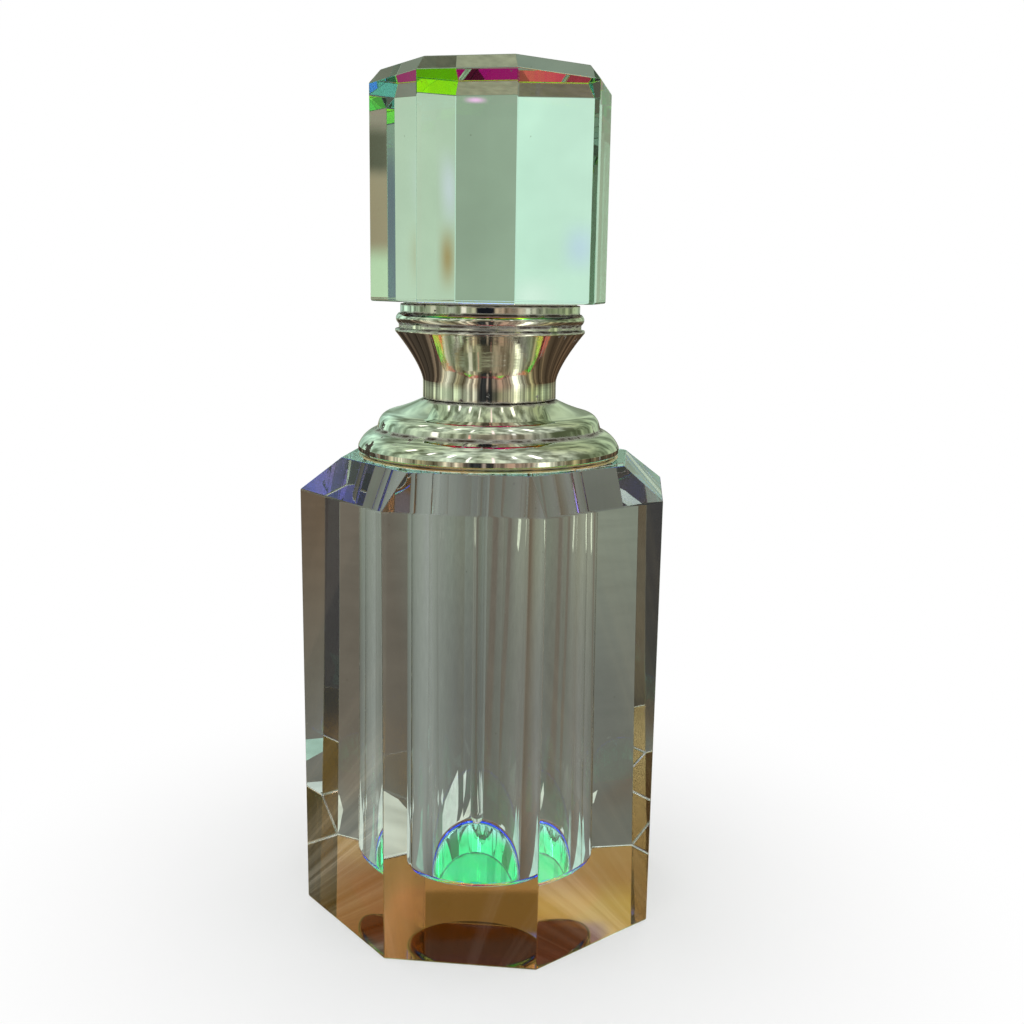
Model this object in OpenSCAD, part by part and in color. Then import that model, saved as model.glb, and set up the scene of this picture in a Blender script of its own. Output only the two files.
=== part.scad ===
// Octagonal cut crystal attar bottle with a screw-on crystal stopper.
// The frame stands on the bottle's base: Z is the bottle's axis, and one facet of the body faces -Y.
// Lengths are in millimetres and angles in degrees.

/* [Crystal body] */
// Width of the body across opposite facets
body_flats = 44; // [40:0.5:50]
// Height of the body from its base to its flat top
body_h = 58; // [50:0.5:70]
// Height of the sloping shoulder below the flat top
shoulder_h = 3.8; // [2:0.1:6]
// Width of the flat top across opposite facets
top_flats = 34.6; // [34:0.1:38]
// Diameter of the reservoir drilled into the body
reservoir_d = 18; // [16:0.5:20]
// Thickness of crystal left under the reservoir
floor_t = 5.4; // [4:0.1:10]
// Radius of the polished corner round the reservoir's floor
floor_round = 0.8; // [0.3:0.1:2]

/* [Crystal stopper] */
// Width of the stopper across opposite facets
stopper_flats = 27.4; // [25.5:0.1:31]
// Height of the stopper's crystal
stopper_h = 26.8; // [20:0.2:32]
// Height of the sloping crown at the stopper's top
crown_h = 1.4; // [0.8:0.1:3]
// How far the crown leans in on each facet
crown_in = 1.3; // [0.8:0.1:3]
// How far the stopper's facets stand turned from the body's facets
stopper_yaw = -4.9; // [-22.5:0.1:22.5]

/* [Collar] */
// Width of the flat top left bare between the collar's flange and the shoulder
top_border = 0.85; // [0.5:0.05:2]
// Undercut at the foot of the flange
foot_bevel = 0.4; // [0.2:0.05:0.6]
// Height of the flange's upright edge
flange_edge_h = 0.6; // [0.3:0.05:1]
// Radial width of the lower round
lower_round_w = 2; // [1.5:0.1:2.4]
// Rise of the lower round
lower_round_h = 2; // [1.5:0.1:2.6]
// Radial width of the ledge between the two steps
ledge_w = 0.35; // [0.2:0.05:0.6]
// Height of the fillet above that ledge
ledge_h = 0.15; // [0.1:0.05:0.3]
// Height of the upper step's edge
upper_edge_h = 0.55; // [0.3:0.05:0.9]
// Lean of the upper step's edge
upper_edge_in = 0.15; // [0.05:0.05:0.3]
// Radial width of the upper round
upper_round_w = 1.35; // [1:0.05:1.6]
// Rise of the upper round
upper_round_h = 1.5; // [1:0.1:2]
// Rise of the cove from the upper round to the rim
cove_h = 1.6; // [1.2:0.1:2.4]
// How far the collar's top rim stands out past the ferrule's skirt
rim_proud = 0.05; // [0:0.05:0.6]
// How far the rounds swell outwards
round_swell = 0.28; // [0.1:0.02:0.5]
// How far the cove dips inwards
cove_dip = 0.12; // [0:0.02:0.3]
// Wall of the stamped collar
collar_wall = 0.9; // [0.6:0.05:1]

/* [Ferrule] */
// Height of the straight skirt
skirt_h = 2.2; // [1.5:0.1:3]
// Height of the flare above the skirt
flare_h = 6; // [5:0.1:8]
// How far the flare opens out past the skirt, on a radius
flare_out = 3.45; // [3:0.05:4]
// Height of the lip's edge
lip_edge_h = 0.35; // [0.2:0.05:0.6]
// Power that the flare opens by: 1 is a cone, and more hollows it
flare_power = 1.4; // [1:0.1:2]
// Wall of the ferrule
ferrule_wall = 0.9; // [0.6:0.05:1]

/* [Beaded cup] */
// Depth of the groove between the lip and the bead
groove_depth = 0.45; // [0.3:0.05:0.6]
// Height of that groove
groove_h = 0.55; // [0.3:0.05:0.8]
// How far the bead's crest stands out of the groove
bead_proud = 0.35; // [0.2:0.05:0.5]
// Height of the bead
bead_h = 1.35; // [0.9:0.05:1.6]
// Depth of the recess under the crystal, from the bead's crest
recess_depth = 0.55; // [0.4:0.05:0.9]
// Height of that recess
recess_h = 1.1; // [0.8:0.05:1.4]
// Thickness of the plate that carries the crystal
plate_t = 1.05; // [0.8:0.05:1.4]
// Depth of the cup's spigot in the ferrule's mouth
cup_spigot_h = 0.8; // [0.5:0.05:0.9]
// Wall of the cup's spigot
cup_spigot_wall = 0.8; // [0.6:0.05:1.2]

/* [Thread] */
// Outer diameter of the thread on the neck
thread_d = 13; // [12.6:0.1:13.2]
// Depth of the thread
thread_depth = 0.7; // [0.5:0.05:0.8]
// Distance from one ridge to the next
thread_pitch = 2; // [1.8:0.1:2.4]
// Number of ridges that start side by side
thread_starts = 2; // [1:1:3]
// Width of a ridge at its root
ridge_root_w = 1.2; // [1:0.05:1.3]
// Width of a ridge at its crest
ridge_crest_w = 0.5; // [0.3:0.05:0.6]
// Play between the two threads, measured along a radius
thread_play = 0.15; // [0.1:0.01:0.2]
// How deep the root of a ridge is sunk into its tube
ridge_sink = 0.15; // [0.1:0.01:0.2]

/* [Neck bush] */
// Diameter of the bore through the neck
neck_bore_d = 9; // [8:0.1:9.4]
// Height of the neck above the collar's rim
neck_h = 7; // [6.6:0.1:7.6]
// Length of the spigot in the mouth of the reservoir
spigot_l = 4; // [2:0.5:8]
// Gap for adhesive between the spigot and the crystal
spigot_gap = 0.2; // [0.1:0.05:0.4]
// Gap between the flange that stands on the crystal and the collar's wall around it
bush_flange_gap = 1.2; // [0.4:0.1:3]
// Thickness of that flange
bush_flange_t = 2; // [1.4:0.1:2.2]
// Gap between the bush's shoulder and the collar's wall around it
shoulder_gap = 0.3; // [0.2:0.05:0.5]
// Height of the plain land between the collar's rim and the thread
neck_land_h = 0.6; // [0.5:0.05:0.7]
// Height from the collar's rim to the middle of a ridge at its start
thread_start_h = 1.4; // [1.3:0.05:1.5]
// Height from the middle of a ridge at its end to the neck's mouth
thread_end_h = 1.2; // [0.8:0.1:1.6]

/* [Closure] */
// Diameter of the glass rod
rod_d = 2.6; // [2:0.1:3]
// Height of the rod's tip above the reservoir's floor
rod_tip_gap = 4.3; // [2:0.1:10]
// Outer diameter of the boss that holds the rod
boss_d = 4.8; // [4.4:0.1:5.2]
// Length of that boss below the liner's web
boss_l = 3; // [2:0.1:3.2]
// Thickness of the orifice insert's flange
insert_flange_t = 0.8; // [0.6:0.05:1]
// Length of the insert's sleeve in the neck
insert_sleeve_l = 4; // [3.6:0.1:6]
// Wall of the insert's sleeve
insert_wall = 0.8; // [0.6:0.05:0.9]
// Thickness of the wiper web at the foot of the sleeve
wiper_t = 0.7; // [0.5:0.05:0.8]
// Diameter of the hole in the wiper web
wiper_d = 5.4; // [5:0.1:6]
// Thickness of the seal washer
washer_t = 1; // [0.8:0.05:1.2]
// Wall of the liner behind its thread
liner_wall = 0.75; // [0.6:0.05:1]
// Height of the liner's foot above the ferrule's
liner_recess = 0.2; // [0.1:0.05:0.4]

/* [Fits] */
// Thickness of the adhesive under the collar
glue_t = 0.2; // [0.1:0.05:0.3]
// How far the adhesive squeezes out round the flange's foot
glue_bead = 0.45; // [0.2:0.05:0.6]
// Thickness of the clear adhesive under the stopper's crystal
stopper_glue_t = 0.25; // [0.1:0.05:0.4]
// Diameter of that adhesive
stopper_glue_d = 21.6; // [20:0.1:22]
// Clearance between pieces that are fixed to each other
fixed_gap = 0.05; // [0.02:0.01:0.08]
// Clearance between the stopper's pieces and the bottle's
seat_gap = 0.1; // [0.05:0.01:0.2]

/* [Hidden] */
$fn = 96;
// Overrun of every cut past the faces that it opens
over = 1;
// Steps of a bowed stretch of an outline, and steps of a thread in one turn
bow_steps = 6;
turn_steps = 36;

shoulder_in = (body_flats - top_flats) / 2;
reservoir_r = reservoir_d / 2;

thread_r = thread_d / 2;
core_r = thread_r - thread_depth;
thread_lead = thread_pitch * thread_starts;
thread_rise = neck_h - thread_start_h - thread_end_h;
thread_turns = thread_rise / thread_lead;
liner_root_r = thread_r + thread_play;
liner_crest_r = core_r + thread_play;
liner_r = liner_root_r + liner_wall;
skirt_r = liner_r + fixed_gap + ferrule_wall;

collar_z = body_h + glue_t;
flange_r = top_flats / 2 - top_border;
foot_r = flange_r - foot_bevel;
flange_edge_z = collar_z + foot_bevel + flange_edge_h;
ledge_z = flange_edge_z + lower_round_h;
ledge_r = flange_r - lower_round_w;
upper_r = ledge_r - ledge_w;
upper_edge_z = ledge_z + ledge_h + upper_edge_h;
crease_r = upper_r - upper_edge_in - upper_round_w;
crease_z = upper_edge_z + upper_round_h;
rim_z = crease_z + cove_h;
rim_r = skirt_r + rim_proud;
web_z = rim_z - collar_wall;
bush_flange_r = upper_r - collar_wall - bush_flange_gap;
bush_shoulder_r = rim_r - collar_wall - shoulder_gap;

land_z = rim_z + neck_land_h;
thread_z = rim_z + thread_start_h;
neck_z = rim_z + neck_h;
neck_bore_r = neck_bore_d / 2;
spigot_r = reservoir_r - spigot_gap;
spigot_z = body_h - spigot_l;

insert_top_z = neck_z + insert_flange_t;
washer_z = insert_top_z + fixed_gap;
liner_web_z = washer_z + washer_t + fixed_gap;

skirt_z = rim_z + seat_gap;
flare_z = skirt_z + skirt_h;
lip_r = skirt_r + flare_out;
lip_z = flare_z + flare_h;
cup_z = lip_z + lip_edge_h;
groove_r = lip_r - groove_depth;
recess_r = groove_r + bead_proud - recess_depth;
cup_top_z = cup_z + groove_h + bead_h + recess_h;
plate_z = cup_top_z - plate_t;
cup_spigot_z = cup_z - cup_spigot_h;
cup_spigot_r = flare_r((cup_spigot_z - flare_z) / flare_h) - ferrule_wall - seat_gap;
cup_inner_r = cup_spigot_r - cup_spigot_wall;
liner_flange_r = cup_inner_r - seat_gap;
liner_z = skirt_z + liner_recess;
liner_top_z = plate_z - fixed_gap;
boss_z = liner_web_z - boss_l;
rod_r = rod_d / 2;
socket_r = rod_r + fixed_gap;
rod_top_z = liner_top_z - 2 * fixed_gap;
rod_tip_z = floor_t + rod_tip_gap;
stopper_z = cup_top_z + stopper_glue_t;

// Points from p to q, without p, on a curve that bows to the left of the way by sag
function bow(p, q, sag) = [
    for (i = [1 : bow_steps])
        let (t = i / bow_steps, d = q - p)
        p + t * d + 4 * sag * t * (1 - t) * [-d.y, d.x] / norm(d)
];

// Radius of the ferrule's outside at the share t of the flare's height
function flare_r(t) = skirt_r + flare_out * pow(t, flare_power);

// Outline of the collar's outside from the flange's edge up to the rim
function collar_outline() = concat(
    [[flange_r, flange_edge_z]],
    bow([flange_r, flange_edge_z], [ledge_r, ledge_z], -round_swell),
    [[upper_r, ledge_z + ledge_h]],
    [[upper_r - upper_edge_in, upper_edge_z]],
    bow([upper_r - upper_edge_in, upper_edge_z], [crease_r, crease_z], -round_swell),
    bow([crease_r, crease_z], [rim_r, rim_z], cove_dip)
);

// Eight upright facets with a sloping border round the top, cut as four crossing slabs
module faceted_block(flats, height, border_h, border_in) {
    half = flats / 2;
    slab = [
        [-half, 0], [half, 0], [half, height - border_h], [half - border_in, height],
        [border_in - half, height], [-half, height - border_h]
    ];
    intersection_for (i = [0 : 3])
        rotate(45 * i)
        rotate([90, 0, 0])
        linear_extrude(2 * flats, center = true)
        polygon(slab);
}

// One ridge that climbs round Z, from (inner radius, inner width) to (outer radius, outer width)
module helical_ridge(inner_r, inner_w, outer_r, outer_w) {
    steps = ceil(thread_turns * turn_steps);
    section = [
        [inner_r, -inner_w / 2], [outer_r, -outer_w / 2],
        [outer_r, outer_w / 2], [inner_r, inner_w / 2]
    ];
    rings = [
        for (i = [0 : steps])
            let (a = 360 * thread_turns * i / steps, rise = thread_rise * i / steps)
            for (p = section) [p.x * cos(a), p.x * sin(a), p.y + rise]
    ];
    sides = [
        for (i = [0 : steps - 1])
            for (j = [0 : 3])
                let (k = (j + 1) % 4, a = 4 * i, b = 4 * (i + 1))
                for (face = [[a + j, a + k, b + k], [a + j, b + k, b + j]]) face
    ];
    last = 4 * steps;
    ends = [[0, 3, 2], [0, 2, 1], [last, last + 1, last + 2], [last, last + 2, last + 3]];
    polyhedron(points = rings, faces = concat(sides, ends));
}

// The body: a cut block with the reservoir drilled down from its top
module crystal_body() {
    corner = [reservoir_r - floor_round, floor_t + floor_round];
    bottom = [for (i = [0 : bow_steps]) let (a = -90 + 90 * i / bow_steps)
        corner + floor_round * [cos(a), sin(a)]];
    hollow = concat(
        [[0, floor_t]], bottom,
        [[reservoir_r, body_h + over], [0, body_h + over]]
    );
    color([0.62, 0.64, 0.58, 0.45])
    difference() {
        faceted_block(body_flats, body_h, shoulder_h, shoulder_in);
        rotate_extrude() polygon(hollow);
    }
}

// Amber adhesive: a thin ring under the collar and a sleeve round the spigot
module collar_adhesive() {
    sleeve_r = reservoir_r - fixed_gap / 2;
    inner_r = spigot_r + fixed_gap / 2;
    color([0.80, 0.58, 0.22])
    rotate_extrude()
    polygon([
        [inner_r, spigot_z], [sleeve_r, spigot_z], [sleeve_r, body_h],
        [foot_r + glue_bead, body_h], [foot_r, collar_z], [inner_r, collar_z]
    ]);
}

// The neck bush: a spigot, a flange on the crystal, a shoulder for the collar and the threaded neck
module neck_bush() {
    flange_top_z = collar_z + bush_flange_t;
    color([0.78, 0.77, 0.74])
    union() {
        rotate_extrude()
        polygon([
            [neck_bore_r, spigot_z], [spigot_r, spigot_z], [spigot_r, collar_z],
            [bush_flange_r, collar_z], [bush_flange_r, flange_top_z],
            [bush_shoulder_r, flange_top_z], [bush_shoulder_r, web_z],
            [thread_r, web_z], [thread_r, land_z], [core_r, land_z],
            [core_r, neck_z], [neck_bore_r, neck_z]
        ]);
        translate([0, 0, thread_z])
            for (i = [0 : thread_starts - 1])
                rotate(360 * i / thread_starts)
                helical_ridge(core_r - ridge_sink, ridge_root_w, thread_r, ridge_crest_w);
    }
}

// The stepped bell of the collar, a stamped shell of even wall
module collar_shell() {
    outline = collar_outline();
    inside = [for (i = [len(outline) - 1 : -1 : 1]) outline[i] - [collar_wall, collar_wall]];
    color([0.82, 0.83, 0.79])
    rotate_extrude()
    polygon(concat(
        [[foot_r - collar_wall, collar_z], [foot_r, collar_z], [flange_r, collar_z + foot_bevel]],
        outline,
        [[thread_r + fixed_gap, rim_z], [thread_r + fixed_gap, web_z]],
        inside
    ));
}

// The soft insert in the neck: its flange seals the rim and its web wipes the rod
module orifice_insert() {
    sleeve_r = neck_bore_r - fixed_gap;
    foot_z = neck_z - insert_sleeve_l;
    color([0.93, 0.93, 0.90])
    rotate_extrude()
    polygon([
        [wiper_d / 2, foot_z], [sleeve_r, foot_z], [sleeve_r, neck_z],
        [core_r - fixed_gap, neck_z], [core_r - fixed_gap, insert_top_z],
        [sleeve_r - insert_wall, insert_top_z], [sleeve_r - insert_wall, foot_z + wiper_t],
        [wiper_d / 2, foot_z + wiper_t]
    ]);
}

// The washer that the liner presses on the insert's flange
module seal_washer() {
    color([0.90, 0.88, 0.80])
    translate([0, 0, washer_z])
    difference() {
        cylinder(h = washer_t, r = thread_r);
        translate([0, 0, -over]) cylinder(h = washer_t + 2 * over, d = boss_d + 2 * seat_gap);
    }
}

// The threaded liner in the ferrule, with the socket that holds the rod
module thread_liner() {
    color([0.95, 0.95, 0.93])
    union() {
        rotate_extrude()
        polygon([
            [socket_r, boss_z], [boss_d / 2, boss_z], [boss_d / 2, liner_web_z],
            [liner_root_r, liner_web_z], [liner_root_r, liner_z], [liner_r, liner_z],
            [liner_r, liner_web_z], [liner_flange_r, liner_web_z],
            [liner_flange_r, liner_top_z], [0, liner_top_z],
            [0, rod_top_z + fixed_gap], [socket_r, rod_top_z + fixed_gap]
        ]);
        translate([0, 0, thread_z])
            for (i = [0 : thread_starts - 1])
                rotate((360 * i - 180) / thread_starts)
                helical_ridge(liner_crest_r, ridge_crest_w,
                              liner_root_r + ridge_sink, ridge_root_w);
    }
}

// The flared ferrule of the stopper, a spun shell of even wall
module ferrule_shell() {
    steps = 2 * bow_steps;
    outside = [for (i = [0 : steps]) [flare_r(i / steps), flare_z + flare_h * i / steps]];
    inside = [for (i = [steps : -1 : 0]) outside[i] - [ferrule_wall, 0]];
    color([0.80, 0.80, 0.76])
    rotate_extrude()
    polygon(concat(
        [[skirt_r - ferrule_wall, skirt_z], [skirt_r, skirt_z]],
        outside,
        [[lip_r, cup_z], [lip_r - ferrule_wall, cup_z]],
        inside
    ));
}

// The cup that closes the ferrule, with a groove, a bead and a recess round its edge
module beaded_cup() {
    bead_z = cup_z + groove_h;
    color([0.84, 0.84, 0.80])
    rotate_extrude()
    polygon(concat(
        [[cup_inner_r, cup_spigot_z], [cup_spigot_r, cup_spigot_z],
         [cup_spigot_r, cup_z], [groove_r, cup_z], [groove_r, bead_z]],
        bow([groove_r, bead_z], [groove_r, bead_z + bead_h], -bead_proud),
        [[recess_r, bead_z + bead_h], [recess_r, cup_top_z], [0, cup_top_z],
         [0, plate_z], [cup_inner_r, plate_z]]
    ));
}

// The glass rod, with a rounded tip that hangs just above the reservoir's floor
module dip_rod() {
    tip = [for (i = [0 : bow_steps]) let (a = -90 + 90 * i / bow_steps)
        [rod_r * cos(a), rod_tip_z + rod_r + rod_r * sin(a)]];
    color([0.80, 0.86, 0.84, 0.5])
    rotate_extrude()
    polygon(concat(tip, [[rod_r, rod_top_z], [0, rod_top_z]]));
}

// The clear adhesive between the cup's plate and the stopper's crystal
module stopper_adhesive() {
    color([0.85, 0.86, 0.82, 0.6])
    translate([0, 0, cup_top_z])
    cylinder(h = stopper_glue_t, d = stopper_glue_d);
}

// The stopper: a cut block with a narrow crown
module crystal_stopper() {
    color([0.70, 0.85, 0.76, 0.45])
    translate([0, 0, stopper_z])
    rotate(stopper_yaw)
    faceted_block(stopper_flats, stopper_h, crown_h, crown_in);
}

crystal_body();
collar_adhesive();
neck_bush();
collar_shell();
orifice_insert();
seal_washer();
thread_liner();
ferrule_shell();
beaded_cup();
dip_rod();
stopper_adhesive();
crystal_stopper();
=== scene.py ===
"""Looks of an octagonal cut crystal attar bottle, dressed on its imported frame.

Lengths are in metres. Every shape is worked out from the frame's own nodes: the crystals from their
widest points at each height, and the turned pieces from the outline that their edges draw round the axis.
"""
import math

import bpy
import numpy as np
from mathutils import Matrix


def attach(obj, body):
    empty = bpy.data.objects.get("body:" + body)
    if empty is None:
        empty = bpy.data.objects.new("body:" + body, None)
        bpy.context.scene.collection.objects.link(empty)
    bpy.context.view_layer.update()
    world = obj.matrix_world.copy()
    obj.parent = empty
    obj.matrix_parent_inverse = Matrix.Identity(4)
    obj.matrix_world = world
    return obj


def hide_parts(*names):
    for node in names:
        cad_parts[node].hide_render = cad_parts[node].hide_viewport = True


MM = 0.001
TURN = 2 * math.pi
SIDES = 8
HALF_SIDE = TURN / SIDES / 2

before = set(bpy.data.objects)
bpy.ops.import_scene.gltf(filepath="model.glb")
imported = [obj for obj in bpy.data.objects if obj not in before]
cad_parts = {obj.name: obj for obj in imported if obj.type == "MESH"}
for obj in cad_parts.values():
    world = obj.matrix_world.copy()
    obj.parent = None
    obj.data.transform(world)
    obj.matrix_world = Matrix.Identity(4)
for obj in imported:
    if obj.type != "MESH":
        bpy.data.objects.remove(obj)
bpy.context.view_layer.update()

# Points nearer than this are one point of an outline, and places are rounded to a micrometre
SAME = 3e-6
DECIMALS = 6
# Samples round a turned piece, for each side of a crystal, and of those the ones on its rounded arris
ROUND_SAMPLES = 256
FACET_SAMPLES = 32
ARRIS_STEPS = 7
# A bend of an outline under this angle is part of a curve, and any other is a corner
SOFT_BEND = math.radians(25)
CURVE_STEPS = 5
FILLET_STEPS = 5
# The most that a fillet takes of the stretch on either side of it
FILLET_SHARE = 0.45


# Shapes read from the frame

def vertices_of(node):
    """Every vertex of a CAD node, as rows of x, y and z."""
    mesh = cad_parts[node].data
    points = np.empty(3 * len(mesh.vertices))
    mesh.vertices.foreach_get("co", points)
    return points.reshape(-1, 3)


def block_levels(node):
    """(apothem, height) of an octagonal block at its base, at its shoulder and at its top: the widest
    radius at each height times the cosine of half a side's angle."""
    points = vertices_of(node)
    radius = np.hypot(points[:, 0], points[:, 1])
    heights = np.unique(np.round(points[radius > radius.max() / 2, 2], DECIMALS))
    widest = [radius[np.abs(points[:, 2] - z) < SAME].max() for z in heights]
    levels = np.column_stack([np.array(widest) * math.cos(HALF_SIDE), heights])
    return levels[levels[:, 0] > levels[:, 0].max() / 2]


def block_yaw(node):
    """How far a block's facets stand turned from facing -Y: the angle of its widest vertex, less the
    place of the nearest corner of an unturned octagon."""
    points = vertices_of(node)
    x, y = points[np.hypot(points[:, 0], points[:, 1]).argmax(), :2]
    turned = math.atan2(y, x) - HALF_SIDE
    return turned - round(turned / (2 * HALF_SIDE)) * 2 * HALF_SIDE


def turned_outline(node):
    """The (radius, height) outline of a turned node. Seen round the axis, its edges make one chain of
    points: a closed one, or an open one whose ends lie in discs on the axis."""
    points = vertices_of(node)
    seen = np.column_stack([np.hypot(points[:, 0], points[:, 1]), points[:, 2]])
    seen, index = np.unique(np.round(seen, DECIMALS), axis=0, return_inverse=True)
    first = (np.abs(seen[:, None] - seen[None]).max(axis=2) < SAME).argmax(axis=1)
    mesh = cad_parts[node].data
    edges = np.empty(2 * len(mesh.edges), int)
    mesh.edges.foreach_get("vertices", edges)
    edges = np.unique(np.sort(first[index.ravel()[edges]].reshape(-1, 2), axis=1), axis=0)
    near = {}
    for a, b in edges[edges[:, 0] != edges[:, 1]]:
        near.setdefault(a, []).append(b)
        near.setdefault(b, []).append(a)
    ends = [a for a in near if len(near[a]) == 1]
    chain = [min(ends) if ends else min(near)]
    onward = near[chain[0]]
    while onward:
        chain.append(onward[0])
        onward = [b for b in near[chain[-1]] if b not in chain]
    outline = seen[chain]
    if ends:
        start, end = outline[:1] * [0, 1], outline[-1:] * [0, 1]
        outline = np.vstack([start, outline[outline[:, 0] > SAME], end])
    return outline, not ends


def material_left(outline):
    """The outline in the order that has its material on the left: the one whose signed area is positive."""
    onward = np.roll(outline, -1, axis=0)
    area = (outline[:, 0] * onward[:, 1] - onward[:, 0] * outline[:, 1]).sum()
    return outline if area > 0 else outline[::-1]


def crevices_of(node):
    """Heights on the outer side of a turned node that get grimy and painted shade: its ends and its inward
    corners.
    """
    points = material_left(turned_outline(node)[0])
    ways = np.roll(points, -1, axis=0) - points
    ways /= np.maximum(np.hypot(*ways.T), SAME)[:, None]
    before = np.roll(ways, 1, axis=0)
    inward = before[:, 0] * ways[:, 1] - before[:, 1] * ways[:, 0] < -math.sin(SOFT_BEND)
    outer = (before[:, 1] > -SAME) & (ways[:, 1] > -SAME)
    skin = points[points[:, 0] > points[:, 0].max() / 2, 1]
    return [skin.min(), *points[inward & outer, 1], skin.max()]


# Outlines and surfaces

def curve_through(points):
    """A smooth curve through the points: a cubic on each span. A tangent follows both of its spans by
    their lengths, so that a long straight one stays straight where it runs into a fine curve."""
    points = np.array(points)
    if len(points) < 3:
        return points
    spans = np.diff(points, axis=0)
    lengths = np.hypot(*spans.T)[:, None]
    ways = spans / lengths
    tangents = np.vstack([ways[:1], spans[:-1] + spans[1:], ways[-1:]])
    tangents /= np.hypot(*tangents.T)[:, None]
    t = (np.arange(CURVE_STEPS) / CURVE_STEPS)[None, :, None]
    start, end = points[:-1, None], points[1:, None]
    leave, arrive = (tangents[:-1] * lengths)[:, None], (tangents[1:] * lengths)[:, None]
    curve = (start * (1 + 2 * t) * (1 - t) ** 2 + leave * t * (1 - t) ** 2
             + end * t ** 2 * (3 - 2 * t) - arrive * t ** 2 * (1 - t))
    return np.vstack([curve.reshape(-1, 2), points[-1:]])


def rounded(outline, closed, fillet):
    """The outline, turned so that its material is on the left, with one smooth curve through the points
    of each soft bend and a parabola for each sharp corner, which it leaves at the fillet's tangent."""
    points = material_left(outline)
    ways = np.roll(points, -1, axis=0) - points
    lengths = np.maximum(np.hypot(*ways.T), SAME)
    ways = ways / lengths[:, None]
    before, length_before = np.roll(ways, 1, axis=0), np.roll(lengths, 1)
    bend = np.arccos(np.clip((before * ways).sum(axis=1), -1, 1))
    cut = np.minimum(fillet * np.tan(bend / 2), FILLET_SHARE * np.minimum(lengths, length_before))
    stops = np.flatnonzero(bend > SOFT_BEND)
    if closed:
        pairs = list(zip(stops, np.roll(stops, -1)))
    else:
        cut[[0, -1]] = 0
        stops = np.unique(np.concatenate([[0], stops, [len(points) - 1]]))
        pairs = list(zip(stops[:-1], stops[1:]))
    t = np.linspace(0, 1, FILLET_STEPS + 1)[1:-1, None]
    made = []
    for a, b in pairs:
        between = np.arange(a + 1, b if b > a else b + len(points)) % len(points)
        start, end = points[a] + cut[a] * ways[a], points[b] - cut[b] * before[b]
        made.append(curve_through([start, *points[between], end]))
        if cut[b] > 0:
            onward = points[b] + cut[b] * ways[b]
            made.append((1 - t) ** 2 * end + 2 * t * (1 - t) * points[b] + t ** 2 * onward)
    return np.vstack(made)


def outline_normals(outline, closed):
    """Outward normals of an outline: a quarter turn right of its way, each stretch by its length."""
    ways = np.diff(np.vstack([outline, outline[:1]]), axis=0)
    normals = np.column_stack([ways[:, 1], -ways[:, 0]])
    if not closed:
        normals[-1] = 0
    normals = normals + np.roll(normals, 1, axis=0)
    return normals / np.hypot(*normals.T)[:, None]


def round_ring():
    """(skeleton points, angles of the normals) of a circle: both follow even angles."""
    angle = TURN * np.arange(ROUND_SAMPLES) / ROUND_SAMPLES
    return np.column_stack([np.cos(angle), np.sin(angle)]), angle


def facet_ring(yaw):
    """(skeleton points, angles of the normals) of an octagon of unit apothem. At each corner the point
    stays while the normal turns by a side's angle, and between corners the point runs straight."""
    side = np.arange(SIDES)[:, None]
    corner = yaw - TURN / 4 + HALF_SIDE + 2 * HALF_SIDE * side
    turning = corner + HALF_SIDE * np.linspace(-1, 1, ARRIS_STEPS + 1)
    straight = np.arange(1, FACET_SAMPLES - ARRIS_STEPS) / (FACET_SAMPLES - ARRIS_STEPS)
    facing = corner + HALF_SIDE + 0 * straight
    along = math.tan(HALF_SIDE) * (2 * straight - 1)
    at_corner = np.stack([np.cos(corner), np.sin(corner)], axis=-1) / math.cos(HALF_SIDE)
    on_side = [np.cos(facing) - along * np.sin(facing), np.sin(facing) + along * np.cos(facing)]
    corners = np.broadcast_to(at_corner, (SIDES, ARRIS_STEPS + 1, 2))
    points = np.concatenate([corners, np.stack(on_side, axis=-1)], axis=1)
    return points.reshape(-1, 2), np.concatenate([turning, facing], axis=1).ravel()


def lifted(flat, height):
    """Rows of x and y, each row with its own z."""
    return np.dstack([flat, np.broadcast_to(height[:, None], flat.shape[:2])])


def carried_round(name, outline, closed, ring, arris=0, bore=None):
    """A surface that carries an outline round the axis: the point of row i and column j stands at
    (radius - arris) times the ring's skeleton point plus arris times its normal. The rows that bore
    marks go round a circle in place of the ring. A row on the axis is one point."""
    skeleton, angle = ring
    facing = np.column_stack([np.cos(angle), np.sin(angle)])
    even = angle[0] + HALF_SIDE + TURN * (np.arange(len(angle)) - ARRIS_STEPS / 2) / len(angle)
    circle = np.column_stack([np.cos(even), np.sin(even)])
    radius, height = outline.T
    round_row = np.zeros(len(outline), bool) if bore is None else bore
    arris_row = np.minimum(arris, radius)
    faceted = (radius - arris_row)[:, None, None] * skeleton + arris_row[:, None, None] * facing
    across = np.where(round_row[:, None, None], radius[:, None, None] * circle, faceted)
    outward = np.where(round_row[:, None, None], circle, np.broadcast_to(facing, faceted.shape))
    normal_out, normal_up = outline_normals(outline, closed).T
    points = lifted(across, height)
    normals = lifted(outward * normal_out[:, None, None], normal_up)
    count = len(angle)
    poles = radius < SAME
    sizes = np.where(poles, 1, count)
    starts = np.concatenate([[0], np.cumsum(sizes)[:-1]])
    points = np.vstack([row[:size] for row, size in zip(points, sizes)])
    normals = np.vstack([row[:size] for row, size in zip(normals, sizes)])
    here = np.arange(count)
    beyond = np.roll(here, -1)
    faces = []
    for low in range(len(outline) if closed else len(outline) - 1):
        high = (low + 1) % len(outline)
        a, b = starts[low], starts[high]
        if poles[low]:
            faces += np.column_stack([0 * here + a, b + beyond, b + here]).tolist()
        elif poles[high]:
            faces += np.column_stack([a + here, a + beyond, 0 * here + b]).tolist()
        else:
            faces += np.column_stack([a + here, a + beyond, b + beyond, b + here]).tolist()
    return finished_mesh(name, points, faces, normals)


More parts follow.
